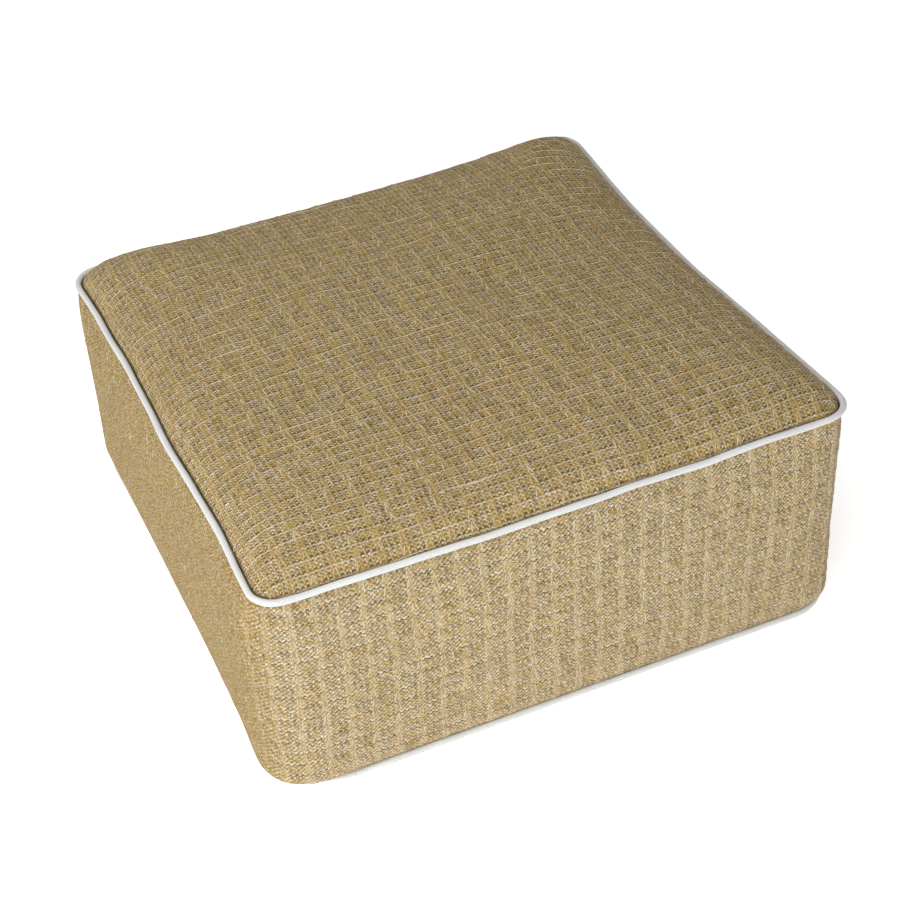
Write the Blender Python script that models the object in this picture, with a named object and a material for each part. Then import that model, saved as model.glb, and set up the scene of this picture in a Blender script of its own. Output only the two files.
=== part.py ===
"""Low square floor pouf: a filled cloth block with a piped seam round its top and another round its foot.

Metres, +Z up. The origin is the middle of the footprint on the floor. +X runs along the front edge to the
right and +Y runs to the back. The body is one closed solid whose faces are the top panel, the side band and
the bottom panel. Two round welts lie in the seam channels between those panels.
"""

import math

import bmesh
import bpy

# Driving sizes
SIDE = 0.610  # across the top seam, between the sharp corners its sides would meet in
HALF = SIDE / 2
FOOTPRINT_SHIFT = (0.00114, 0.00122)  # x and y: puts the middle of the uneven outline on the origin
TOP_SEAM_Z = 0.250  # height of the top welt's centre line at a plain corner
BASE_SEAM_Z = 0.008  # height of the bottom welt's centre line
BASE_SEAM_HALF = 0.3045  # half the width across the bottom seam
WELT_RADIUS = 0.0033
CHANNEL_RADIUS = WELT_RADIUS + 0.0005  # the channel's facets stay 0.3 mm clear of the welt's

# Top panel: it rises steeply beside the welt, then slowly over a wide shoulder
CROWN = 0.031  # from the seam's centre line up to the middle of the panel
STEEP_SHARE = 0.60  # share of the crown that is gained close to the seam
STEEP_LENGTH = 0.013
SHOULDER_LENGTH = 0.045
SAG_FADE = 0.120  # how far inward the seam's own rise and fall can be felt
CORNER_SPREAD = 0.8  # how fast the panel's grid lines open out from a corner's radius, per metre inward
SMALLEST_RADIUS = 0.0005  # of a grid line's corner, near the middle of the panel
LARGEST_RADIUS_SHARE = 0.95  # of a grid line's half width
MIDDLE_INSET = HALF * 0.98  # where the height of the panel's middle point is read

# Side band
TOP_ROUND = 0.30  # share of the band's height over which it swells out below the top seam
BASE_ROUND = 0.06  # share over which it turns under to the bottom seam

# Bottom panel
BASE_TURN = 0.016  # from the bottom seam inward to where the panel lies flat on the floor
BASE_TURN_SHARES = (0.5, 0.85, 1.0)  # places of the rings along that turn

# Corners, in order round the pouf. Each is uneven, as filled corners are.
# top_radius, lift and reach shape the top seam: plan radius, height above TOP_SEAM_Z, and how far the corner
# is pushed out. band_radius and band_reach are the same for the band. base_radius is the bottom seam's.
CORNER_COLUMNS = ("top_radius", "lift", "reach", "band_radius", "band_reach", "base_radius")
CORNER_ROWS = {
    "front_left": (0.025, -0.001, -0.003, 0.053, 0.0095, 0.078),
    "front_right": (0.029, 0.003, -0.001, 0.036, 0.0005, 0.050),
    "back_right": (0.030, -0.003, 0.003, 0.040, 0.0000, 0.056),
    "back_left": (0.030, -0.010, -0.002, 0.038, 0.0020, 0.062),
}

# Sides, each between two corners. sag is how far the top seam dips at mid-side, and lean moves the dip
# towards the side's second corner. draw is how far the top seam is pulled in, bulge how far the band swells
# out, and base_draw how far the bottom seam is pulled in, all at mid-side.
SIDE_COLUMNS = ("sag", "lean", "draw", "bulge", "base_draw")
SIDE_ROWS = {
    "front": (0.0045, 0.000, 0.0035, 0.0040, 0.0000),
    "right": (0.0115, 0.010, 0.0035, 0.0040, 0.0010),
    "back": (0.0040, -0.001, 0.0030, 0.0040, 0.0020),
    "left": (0.0025, -0.001, 0.0070, 0.0030, 0.0045),
}

# Soft hollows (negative) and swells of the top panel: centre x, centre y, radius, height
TOP_SWELLS = (
    (-0.060, -0.050, 0.110, -0.0030),
    (0.120, 0.090, 0.090, -0.0020),
    (0.030, -0.190, 0.080, 0.0020),
    (0.235, 0.250, 0.050, 0.0060),
    (-0.225, 0.245, 0.050, 0.0060),
)

# Insets of the top panel's grid lines from its edge, close together over the roll beside the seam
GRID_INSETS = (0.0, 0.006, 0.013, 0.022, 0.034, 0.052, 0.078, 0.120, 0.190)
# Depths down the band as shares of the way from the top seam to the bottom seam
BAND_SHARES = (0.035, 0.075, 0.14, 0.22, 0.32, 0.45, 0.60, 0.74, 0.86, 0.93, 0.955, 0.972)
# Directions round a welt at which its channel has a point: 0 is outward and 90 is up
TOP_CHANNEL_ANGLES = (125, 150, 180, 210, 240, 265)
BASE_CHANNEL_ANGLES = (95, 120, 150, 180, 210, 235)
WELT_SIDES = 12

CLOTH_COLOUR = (0.39, 0.29, 0.155)
CLOTH_ROUGHNESS = 0.9
WELT_COLOUR = (0.80, 0.79, 0.74)
WELT_ROUGHNESS = 0.75
SHARP_ANGLE = math.radians(50)  # edges sharper than this aren't shaded smooth

CORNERS = [dict(zip(CORNER_COLUMNS, row)) for row in CORNER_ROWS.values()]
SIDES = [dict(zip(SIDE_COLUMNS, row)) for row in SIDE_ROWS.values()]


def seam_loop(place, half, radius, draw, reach):
    """One station of a rounded square that is drawn in at mid-side.

    place is (side, t), with t from -1 at the side's first corner to 1 at its second. radius and reach are
    functions of a corner, and draw is a function of a side. Returns the point and the outward direction."""
    side, t = place
    first, second = CORNERS[side], CORNERS[(side + 1) % 4]
    corner_radius = radius(first if t < 0 else second)
    straight = half - corner_radius
    along = abs(t) * half
    turn = max(along - straight, 0.0) / corner_radius * math.pi / 4
    if turn > 0:
        along = straight + corner_radius * math.sin(turn)
    out = straight + corner_radius * math.cos(turn)
    mid = 1 - t * t
    push = reach(first) * (1 - t) / 2 + reach(second) * (1 + t) / 2
    out += push * t * t - draw(SIDES[side]) * mid
    along = math.copysign(along * (1 + push / half * t * t), t)
    return turned(side, along, out), turned(side, math.copysign(math.sin(turn), t), math.cos(turn))


def turned(side, along, out):
    """A direction or point given along and out of a side, in x and y. The front side runs along +X."""
    angle = side * math.pi / 2
    return (
        along * math.cos(angle) + out * math.sin(angle),
        along * math.sin(angle) - out * math.cos(angle),
    )


def top_seam(place):
    """The top welt's centre line: point with height, and outward direction."""
    side, t = place
    (x, y), outward = seam_loop(
        place, HALF, lambda c: c["top_radius"], lambda s: s["draw"], lambda c: c["reach"]
    )
    first, second = CORNERS[side], CORNERS[(side + 1) % 4]
    mid = 1 - t * t
    height = first["lift"] * (1 - t) / 2 + second["lift"] * (1 + t) / 2
    height -= (SIDES[side]["sag"] + SIDES[side]["lean"] * t) * mid
    return (x, y, TOP_SEAM_Z + height), outward


def base_seam(place, inset=0.0):
    """The bottom welt's centre line, or a line that lies inset from it."""
    (x, y), outward = seam_loop(
        place,
        BASE_SEAM_HALF - inset,
        lambda c: c["base_radius"] - inset,
        lambda s: s["base_draw"],
        lambda c: 0.0,
    )
    return (x, y, BASE_SEAM_Z), outward


def band_point(place, share):
    """A point of the side band, share of the way down from the top seam to the bottom seam."""
    (x, y), _ = seam_loop(
        place, HALF, lambda c: c["band_radius"], lambda s: -s["bulge"], lambda c: c["band_reach"]
    )
    top, _ = top_seam(place)
    base, _ = base_seam(place)
    near_top = round_off(1 - share / TOP_ROUND)
    near_base = round_off(1 - (1 - share) / BASE_ROUND)
    middle = 1 - near_top - near_base
    return (
        x * middle + top[0] * near_top + base[0] * near_base,
        y * middle + top[1] * near_top + base[1] * near_base,
        top[2] * (1 - share) + base[2] * share,
    )


def round_off(nearness):
    """Quarter of an ellipse: 1 at the seam, 0 where the cloth runs straight."""
    clipped = min(max(nearness, 0.0), 1.0)
    return 1 - math.sqrt(1 - clipped * clipped)


def crown_rise(inset):
    """Height of the top panel over its seam, at a distance inward from the channel's lip."""
    steep = STEEP_SHARE * math.exp(-inset / STEEP_LENGTH)
    shoulder = (1 - STEEP_SHARE) * math.exp(-inset / SHOULDER_LENGTH)
    return 1 - steep - shoulder


def top_panel_point(place, inset):
    """A point of the top panel, inset from the lip of its seam channel."""
    lip = math.radians(TOP_CHANNEL_ANGLES[0])
    lip_in = -CHANNEL_RADIUS * math.cos(lip)
    lip_up = CHANNEL_RADIUS * math.sin(lip)
    seam, _ = top_seam(place)
    total = inset + lip_in
    half = HALF - total
    inward = total / HALF

    def radius(corner):
        wider = (corner["top_radius"] + CORNER_SPREAD * total) * (1 - inward) ** 2
        return min(max(wider, SMALLEST_RADIUS), half * LARGEST_RADIUS_SHARE)

    fade = math.exp(-inset / SAG_FADE)
    (x, y), _ = seam_loop(
        place, half, radius, lambda s: s["draw"] * fade, lambda c: c["reach"] * fade
    )
    height = TOP_SEAM_Z + (seam[2] - TOP_SEAM_Z) * fade + lip_up
    height += (CROWN - lip_up) * crown_rise(inset)
    for cx, cy, reach, rise in TOP_SWELLS:
        height += rise * crown_rise(inset) * math.exp(-((x - cx) ** 2 + (y - cy) ** 2) / reach**2)
    return (x, y, height)


def grid_marks():
    """Places of the top panel's grid lines across the panel, from -1 to 1."""
    marks = [inset / HALF - 1 for inset in GRID_INSETS]
    return marks + [0.0] + [-mark for mark in reversed(marks)]


def stations():
    """The places round a seam at which the top panel's grid lines meet it."""
    marks = grid_marks()
    return [(side, t) for side in range(4) for t in marks[:-1]]


def channel_point(centre, outward, radius, degrees):
    """A point round a welt's centre line, in the plane across it."""
    angle = math.radians(degrees)
    shift = radius * math.cos(angle)
    return (
        centre[0] + outward[0] * shift,
        centre[1] + outward[1] * shift,
        centre[2] + radius * math.sin(angle),
    )


def body_rings():
    """Rings of the body from the top panel's lip, down the band and under the foot to the flat base."""
    places = stations()
    rings = []
    for degrees in TOP_CHANNEL_ANGLES:
        rings.append([channel_point(*top_seam(place), CHANNEL_RADIUS, degrees) for place in places])
    for share in BAND_SHARES:
        rings.append([band_point(place, share) for place in places])
    for degrees in BASE_CHANNEL_ANGLES:
        rings.append([channel_point(*base_seam(place), CHANNEL_RADIUS, degrees) for place in places])
    lip_z = rings[-1][0][2]  # the bottom seam is level, so its channel's last ring is too
    for share in BASE_TURN_SHARES:
        ring = [base_seam(place, BASE_TURN * share)[0] for place in places]
        rings.append([(x, y, lip_z * round_off(1 - share)) for x, y, _ in ring])
    return rings


def add_ring(mesh, points):
    return [mesh.verts.new(point) for point in points]


def join_rings(mesh, upper, lower):
    """Quads between two rings that run round the pouf. upper is the ring nearer the top panel."""
    count = len(upper)
    for i in range(count):
        j = (i + 1) % count
        mesh.faces.new((upper[j], upper[i], lower[i], lower[j]))


def add_top_panel(mesh, edge):
    """A square grid whose rim is the ring edge. Grid ring k lies GRID_INSETS[k] inside it."""
    marks = grid_marks()
    last = len(marks) - 1
    insets = list(GRID_INSETS) + [HALF]
    grid = {}
    for side in range(4):
        for k in range(last):
            grid[rim_cell(side, k, 0, last)] = edge[side * last + k]
    for ring in range(1, last // 2):
        half = 1 - insets[ring] / HALF
        for side in range(4):
            for k in range(ring, last - ring):
                place = (side, marks[k] / half)
                grid[rim_cell(side, k, ring, last)] = mesh.verts.new(top_panel_point(place, insets[ring]))
    middle = last // 2
    middle_height = top_panel_point((0, 0.0), MIDDLE_INSET)[2]
    grid[middle, middle] = mesh.verts.new((0.0, 0.0, middle_height))
    for i in range(last):
        for j in range(last):
            mesh.faces.new((grid[i, j], grid[i + 1, j], grid[i + 1, j + 1], grid[i, j + 1]))


def rim_cell(side, k, ring, last):
    """Column and row of the k-th grid point on one side of a square grid ring."""
    return {
        0: (k, ring),
        1: (last - ring, k),
        2: (last - k, last - ring),
        3: (ring, last - k),
    }[side]


def make_body():
    mesh = bmesh.new()
    rings = [add_ring(mesh, points) for points in body_rings()]
    for upper, lower in zip(rings, rings[1:]):
        join_rings(mesh, upper, lower)
    add_top_panel(mesh, rings[0])
    mesh.faces.new(tuple(reversed(rings[-1])))
    return finished("pouf_body", mesh, cloth_material())


def make_welt(name, seam):
    """A round welt along a seam, closed into one loop."""
    mesh = bmesh.new()
    sections = []
    for place in stations():
        centre, outward = seam(place)
        turns = [360 / WELT_SIDES * k for k in range(WELT_SIDES)]
        sections.append(
            add_ring(mesh, [channel_point(centre, outward, WELT_RADIUS, degrees) for degrees in turns])
        )
    for here, following in zip(sections, sections[1:] + sections[:1]):
        for k in range(WELT_SIDES):
            n = (k + 1) % WELT_SIDES
            mesh.faces.new((here[k], following[k], following[n], here[n]))
    return finished(name, mesh, welt_material())


def finished(name, mesh, material):
    """Turns a bmesh into a named object with smooth shading across its soft turns."""
    bmesh.ops.recalc_face_normals(mesh, faces=mesh.faces[:])
    data = bpy.data.meshes.new(name)
    mesh.to_mesh(data)
    mesh.free()
    data.shade_smooth()
    data.set_sharp_from_angle(angle=SHARP_ANGLE)
    data.materials.append(material)
    piece = bpy.data.objects.new(name, data)
    piece.location = (*FOOTPRINT_SHIFT, 0.0)
    bpy.context.scene.collection.objects.link(piece)
    return piece


def principled(name, colour, roughness):
    material = bpy.data.materials.new(name)
    material.use_nodes = True
    shader = material.node_tree.nodes["Principled BSDF"]
    shader.inputs["Base Color"].default_value = (*colour, 1.0)
    shader.inputs["Roughness"].default_value = roughness
    shader.inputs["Metallic"].default_value = 0.0
    return material


def cloth_material():
    return principled("woven_cloth", CLOTH_COLOUR, CLOTH_ROUGHNESS)


def welt_material():
    return principled("welt_cloth", WELT_COLOUR, WELT_ROUGHNESS)


def clear_scene():
    for old in list(bpy.data.objects):
        bpy.data.objects.remove(old)


def main():
    clear_scene()
    make_body()
    make_welt("piping_top", top_seam)
    make_welt("piping_bottom", base_seam)


main()
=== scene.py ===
"""Looks of the square floor pouf: woven cloth over a firm filling, with off-white piping in both seams.

Metres, +Z up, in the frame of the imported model. The cover is one closed cushion on the seams of the
solids, and its materials carry the weave. The floating yarns and the two welts are pieces of their own.
"""

import math

import bmesh
import bpy
import numpy as np
from mathutils import Matrix, Vector
from mathutils.bvhtree import BVHTree


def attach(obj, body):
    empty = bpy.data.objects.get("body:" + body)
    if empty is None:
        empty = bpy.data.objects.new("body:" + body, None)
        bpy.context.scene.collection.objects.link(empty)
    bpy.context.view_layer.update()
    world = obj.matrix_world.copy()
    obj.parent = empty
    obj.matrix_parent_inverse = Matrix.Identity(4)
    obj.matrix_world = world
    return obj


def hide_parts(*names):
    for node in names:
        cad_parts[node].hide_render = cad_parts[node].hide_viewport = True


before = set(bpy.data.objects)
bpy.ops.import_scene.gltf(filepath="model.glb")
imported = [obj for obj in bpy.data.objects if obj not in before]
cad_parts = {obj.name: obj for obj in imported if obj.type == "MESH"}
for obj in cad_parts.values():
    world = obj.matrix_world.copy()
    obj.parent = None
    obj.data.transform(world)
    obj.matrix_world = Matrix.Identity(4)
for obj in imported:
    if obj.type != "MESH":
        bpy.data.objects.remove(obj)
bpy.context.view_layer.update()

# ---- the cover's form, as in the solids

SIDE = 0.610
HALF = SIDE / 2
SHIFT = np.array((0.00114, 0.00122, 0.0))  # puts the middle of the uneven outline on the origin
TOP_SEAM_Z = 0.250
BASE_SEAM_Z = 0.008
BASE_SEAM_HALF = 0.3045
WELT_RADIUS = 0.0033
CHANNEL_RADIUS = WELT_RADIUS + 0.0002
CROWN = 0.031
STEEP_SHARE = 0.60
STEEP_LENGTH = 0.013
SHOULDER_LENGTH = 0.045
SAG_FADE = 0.120
CORNER_SPREAD = 0.8
LEAST_ROUND, MOST_ROUND = 0.0005, 0.95  # of the crown's corners: in metres, and as a share of the half side
TOP_ROUND = 0.30
BASE_ROUND = 0.03
BASE_TURN = 0.016
CORNER_EASE = 0.12  # last share of a half side over which a pushed corner is rounded off

# Corners in order: front left, front right, back right, back left
CORNERS = {
    "top_radius": (0.025, 0.029, 0.030, 0.030),
    "lift": (-0.001, 0.003, -0.003, -0.010),
    "reach": (-0.003, -0.001, 0.003, -0.002),
    "band_radius": (0.053, 0.036, 0.040, 0.038),
    "band_reach": (0.0095, 0.0005, 0.0000, 0.0020),
    "base_radius": (0.078, 0.050, 0.056, 0.062),
}
# Sides in order: front, right, back, left
SIDES = {
    "sag": (0.0045, 0.0115, 0.0040, 0.0025),
    "lean": (0.000, 0.010, -0.001, -0.001),
    "draw": (0.0035, 0.0035, 0.0030, 0.0070),
    "bulge": (0.0040, 0.0040, 0.0040, 0.0030),
    "base_draw": (0.0000, 0.0010, 0.0020, 0.0045),
}
# Soft hollows and swells of the top panel: centre x, centre y, radius, height
TOP_SWELLS = (
    (-0.060, -0.050, 0.110, -0.0030),
    (0.120, 0.090, 0.090, -0.0020),
    (0.030, -0.190, 0.080, 0.0020),
    (0.235, 0.250, 0.050, 0.0068),
    (-0.225, 0.245, 0.050, 0.0080),
)
# Small waves of the top seam: number of the side, place on it from -1 to 1, half width, outward and upward
SEAM_WAVES = (
    (0, -0.86, 0.05, 0.0, -0.0012),
    (0, -0.26, 0.10, 0.0, -0.0011),
    (0, 0.22, 0.07, 0.0, 0.0013),
    (0, 0.46, 0.06, 0.0, -0.0014),
    (0, 0.68, 0.10, 0.0, 0.0010),
    (1, 0.00, 0.18, 0.0, -0.0018),
    (1, 0.75, 0.15, 0.0, 0.0016),
    (3, -0.72, 0.14, -0.0015, 0.0),
    (3, -0.38, 0.12, -0.0015, 0.0),
    (3, 0.12, 0.16, 0.0024, 0.0),
    (3, 0.62, 0.16, -0.0018, 0.0),
)
WAVE_FADE = 0.030  # how far into the top panel the waves reach
WAVE_END = 8  # the higher, the closer to the corners the waves die out

# Soft creases of the top panel: start x and y, end x and y, half width, height (below 0 for a trough)
TOP_CREASES = (
    (-0.070, 0.170, 0.150, 0.164, 0.020, 0.0014),
    (-0.102, 0.045, -0.094, -0.070, 0.024, 0.0018),
    (-0.094, -0.075, 0.070, -0.080, 0.022, 0.0016),
    (-0.046, 0.060, -0.044, -0.025, 0.022, -0.0014),
    (0.050, 0.070, 0.088, 0.015, 0.020, -0.0018),
    (0.128, 0.010, 0.138, -0.050, 0.024, 0.0014),
    (0.000, 0.084, 0.110, 0.080, 0.020, 0.0010),
    (0.020, -0.140, 0.110, -0.146, 0.018, -0.0010),
    (-0.200, 0.120, -0.150, 0.060, 0.030, -0.0012),
)

SEAM_SHADOW = 0.0034  # how far out of the top seam the cloth lies in its shadow
FRONT_FADE = 0.06  # the shadow is half as deep along the front, and full this far back
LEFT_EDGE = -0.24  # x at which the cloth starts to look as on the left side
LEFT_FADE = 0.06
BACK_EDGE = 0.33  # y at which the left side would look plain again
BACK_FADE = 0.16
MIDDLE_EDGE = -0.24  # y at which the top panel starts to gain ochre flecks
MIDDLE_FADE = 0.16
BAND_TOP = 0.004  # the band ends this much over the seam's height
CREASE_FLOOR = 0.008  # creases stay this far above the seam's height

CORNERS = {name: np.array(row) for name, row in CORNERS.items()}
SIDES = {name: np.array(row) for name, row in SIDES.items()}

# ---- how finely the cover is laid out

EDGE_INSETS = (0.0, 0.0022, 0.005, 0.0085, 0.013, 0.019, 0.0265)
CELL = 0.0081  # size of a cell away from the seams, before the cover is subdivided once
BAND_HEAD = (0.022, 0.045, 0.075)  # first depths down the band, as shares of its height
BAND_FOOT = (0.93, 0.96)  # last depths
BAND_MIDDLE = 0.45  # depth at which the length round the band is measured
LIP_ANGLE = 125  # where the top panel would meet the welt's channel if it weren't drawn down
LIP_DEPTH = 0.0035
LIP_WIDTH = 0.0030
SLACK_REACH = 0.080  # where the slope of the crown ends, for the length of its cloth
SLACK_STEPS = 60
MIDDLE_INSET = HALF * 0.98  # where the height of the top panel's middle is taken
TOP_CHANNEL_ANGLES = (200, 218, 236, 255)
BASE_CHANNEL_ANGLES = (105, 150, 195, 235)
BASE_TURN_SHARES = (0.35, 0.7, 1.0)
BASE_STEP = 4  # stations that one cell of the flat base spans
BASE_INNER = 0.965  # size of the flat base's square grid, as a share of the ring round it

# The cloth's check: from rib to rib, and from slub line to slub line. It lies stretched on the band.
RIB_PITCH = {"top": 0.0224, "band": 0.0235, "base": 0.0224}
LINE_PITCH = {"top": 0.01225, "band": 0.0144, "base": 0.01225}
WIDE_WAVE, SHORT_WAVE = (0.0011, 0.0014), (0.0006, 0.0007)  # how far its threads stray along and across

PANELS = ("top", "band", "base")

# ---- how the filling swells the cover

SWELL_FRAMES = 20
# Settings of the cloth. It is cut 2 % larger than its place, so that it puckers along the seams
SWELL_CLOTH = {
    "vertex_group_mass": "sewn",
    "use_pressure": True,
    "uniform_pressure_force": 4.0,
    "shrink_min": -0.02,
    "tension_stiffness": 15.0,
    "compression_stiffness": 15.0,
    "shear_stiffness": 4.5,
    "bending_stiffness": 0.5,
}
SPREAD_STEPS = 120  # smoothing steps that part the folds from the large swelling, which the form has
FOLD_SHARE = 0.40  # share of the folds that stays after the filling has pushed them out
FOLD_CAP = 0.004


def seam_loop(side, t, half, radius, draw, reach):
    """Points and outward directions of a rounded square that is drawn in at mid-side.

    side is the number of each point's side and t its place on it, from -1 to 1. radius is given at the
    points, draw for the four sides and reach for the four corners."""
    first, second = side, (side + 1) % 4
    straight = half - radius
    along = np.abs(t) * half
    turn = np.maximum(along - straight, 0.0) / radius * (math.pi / 4)
    along = np.where(turn > 0, straight + radius * np.sin(turn), along)
    out = straight + radius * np.cos(turn)
    near_end = np.maximum(np.abs(t) - (1 - CORNER_EASE), 0.0)
    square = t * t - near_end**2 / CORNER_EASE
    push = reach[first] * (1 - t) / 2 + reach[second] * (1 + t) / 2
    out = out + push * square - draw[side] * (1 - square)
    along = np.copysign(along * (1 + push / half * square), t)
    angle = side * (math.pi / 2)
    sin_turn, cos_turn = np.copysign(np.sin(turn), t), np.cos(turn)
    points = turned(angle, along, out)
    return points, turned(angle, sin_turn, cos_turn)


def turned(angle, along, out):
    """x and y of points given along and out of a side. The front side runs along +X."""
    x = along * np.cos(angle) + out * np.sin(angle)
    y = along * np.sin(angle) - out * np.cos(angle)
    return np.stack([x, y], axis=-1)


def at_corner(side, t, name):
    """A corner's value, at each point, of the corner that is nearer."""
    values = CORNERS[name]
    return np.where(t < 0, values[side], values[(side + 1) % 4])


def with_height(points, height):
    return np.concatenate([points, np.broadcast_to(height, points.shape[:-1])[..., None]], axis=-1)


def seam_wave(side, t):
    """How far the top seam waves outward and upward."""
    out, up = np.zeros(len(t)), np.zeros(len(t))
    for wave_side, place, width, wave_out, wave_up in SEAM_WAVES:
        here = np.where(side == wave_side, np.exp(-(((t - place) / width) ** 2)), 0.0) * (1 - t**WAVE_END)
        out += wave_out * here
        up += wave_up * here
    return out, up


def top_seam(side, t):
    """The top welt's centre line and its outward directions."""
    radius = at_corner(side, t, "top_radius")
    points, outward = seam_loop(side, t, HALF, radius, SIDES["draw"], CORNERS["reach"])
    wave_out, wave_up = seam_wave(side, t)
    points = points + outward * wave_out[:, None]
    lift = CORNERS["lift"]
    height = lift[side] * (1 - t) / 2 + lift[(side + 1) % 4] * (1 + t) / 2
    height = height - (SIDES["sag"][side] + SIDES["lean"][side] * t) * (1 - t * t) + wave_up
    return with_height(points, TOP_SEAM_Z + height), outward


def base_seam(side, t, inset=0.0):
    """The bottom welt's centre line, or a line that lies inset from it."""
    radius = at_corner(side, t, "base_radius") - inset
    still = np.zeros(4)
    points, outward = seam_loop(side, t, BASE_SEAM_HALF - inset, radius, SIDES["base_draw"], still)
    return with_height(points, BASE_SEAM_Z), outward


def round_off(nearness):
    """Quarter of an ellipse: 1 at the seam, 0 where the cloth runs straight."""
    return 1 - np.sqrt(1 - np.clip(nearness, 0.0, 1.0) ** 2)


def band_points(side, t, share):
    """Points of the side band, share of the way down from the top seam to the bottom seam."""
    radius = at_corner(side, t, "band_radius")
    middle_line, _ = seam_loop(side, t, HALF, radius, -SIDES["bulge"], CORNERS["band_reach"])
    top, _ = top_seam(side, t)
    base, _ = base_seam(side, t)
    near_top = round_off(1 - share / TOP_ROUND)
    near_base = round_off(1 - (1 - share) / BASE_ROUND)
    points = middle_line * (1 - near_top - near_base) + top[:, :2] * near_top + base[:, :2] * near_base
    return with_height(points, top[:, 2] * (1 - share) + base[:, 2] * share)


def crown_rise(inset):
    """Share of the crown that the top panel has gained at a distance inward from its seam."""
    steep = STEEP_SHARE * np.exp(-inset / STEEP_LENGTH)
    shoulder = (1 - STEEP_SHARE) * np.exp(-inset / SHOULDER_LENGTH)
    return 1 - steep - shoulder


def slack(inset):
    """How much longer the cloth is than its plan, from a place on the top panel inward."""
    width = max(SLACK_REACH - inset, 0.0) / SLACK_STEPS
    rises = [CROWN * float(crown_rise(inset + width * k)) for k in range(SLACK_STEPS + 1)]
    return sum(math.hypot(width, after - before) - width for before, after in zip(rises, rises[1:]))


def top_points(side, t, inset):
    """Points and outward directions of the top panel, inset from the lip of its seam channel.

    The lip is drawn down into the seam."""
    lip = math.radians(LIP_ANGLE)
    lip_up = CHANNEL_RADIUS * math.sin(lip)
    total = inset - CHANNEL_RADIUS * math.cos(lip)
    half = HALF - total
    wider = (at_corner(side, t, "top_radius") + CORNER_SPREAD * total) * (1 - total / HALF) ** 2
    radius = np.clip(wider, LEAST_ROUND, half * MOST_ROUND)
    fade = math.exp(-inset / SAG_FADE)
    points, outward = seam_loop(side, t, half, radius, SIDES["draw"] * fade, CORNERS["reach"] * fade)
    wave_out, _ = seam_wave(side, t)
    points = points + outward * (wave_out * math.exp(-inset / WAVE_FADE))[:, None]
    seam, _ = top_seam(side, t)
    rise = crown_rise(inset)
    height = TOP_SEAM_Z + (seam[:, 2] - TOP_SEAM_Z) * fade + lip_up + (CROWN - lip_up) * rise
    for cx, cy, radius, swell in TOP_SWELLS:
        away = (points[:, 0] - cx) ** 2 + (points[:, 1] - cy) ** 2
        height = height + swell * rise * np.exp(-away / radius**2)
    return with_height(points, height - LIP_DEPTH * math.exp(-((inset / LIP_WIDTH) ** 2))), outward


def around(centre, outward, radius, degrees):
    """Points round a welt's centre line, in the planes across it."""
    angle = math.radians(degrees)
    shift = radius * math.cos(angle)
    return centre + with_height(outward * shift, radius * math.sin(angle))


# ---- the cover as one closed mesh


def grid_insets():
    """Distances of the top panel's grid rings from its edge, close together beside the seam."""
    start = EDGE_INSETS[-1]
    count = round((HALF - start) / CELL)
    return list(EDGE_INSETS) + [start + (HALF - start) * k / count for k in range(1, count + 1)]


def grid_marks():
    """Places of the grid's lines across the panel, from -1 to 1."""
    half_marks = [inset / HALF - 1 for inset in grid_insets()]
    return np.array(half_marks + [-mark for mark in reversed(half_marks[:-1])])


def stations():
    """Side and t of the places round a seam at which the grid's lines meet it."""
    marks = grid_marks()[:-1]
    return np.repeat(np.arange(4), len(marks)), np.tile(marks, 4)


def band_shares():
    """Depths of the band's rings as shares of its height."""
    first, last = BAND_HEAD[-1], BAND_FOOT[0]
    rows = round((1 - 2 * first) * (TOP_SEAM_Z - BASE_SEAM_Z) / CELL)
    middle = [first + (last - first) * k / rows for k in range(1, rows)]
    return [*BAND_HEAD, *middle, *BAND_FOOT]


def lengths_round(points):
    """Length round a closed ring up to each of its points, and the whole."""
    steps = np.linalg.norm(np.roll(points, -1, axis=0) - points, axis=1)
    return np.concatenate([[0.0], np.cumsum(steps)])


def wander(u, v):
    """The cloth's coordinates with its threads a little off straight, in wide waves and in short ones."""
    wide_u, wide_v = WIDE_WAVE
    short_u, short_v = SHORT_WAVE
    du = wide_u * np.sin(v * 31 + 2.1 * np.sin(u * 13)) + short_u * np.sin(v * 74 + u * 41 + 1.3)
    dv = wide_v * np.sin(u * 17 + 1.7 * np.sin(v * 9)) + short_v * np.sin(u * 52 - v * 33 + 0.4)
    return u + du, v + dv


class Cover:
    """Vertices, faces and the cloth's own coordinates, gathered panel by panel."""

    def __init__(self):
        self.points = []
        self.count = 0
        self.faces = []
        self.cloth = []
        self.panels = []
        self.sewn = []  # numbers of the points that the seams and the floor hold
        self.painted_seam_shadow = []  # painted shadow: 1 for points deep in the top seam, 0 for those away from it

    def add(self, points, painted_seam_shadow=0.0):
        """Adds points and returns their numbers."""
        self.points.append(points)
        self.painted_seam_shadow.extend([painted_seam_shadow] * len(points))
        numbers = np.arange(self.count, self.count + len(points))
        self.count += len(points)
        return numbers

    def face(self, corners, cloth, panel):
        self.faces.append([int(c) for c in corners])
        self.cloth.extend(cloth)
        self.panels.append(PANELS.index(panel))


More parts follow.
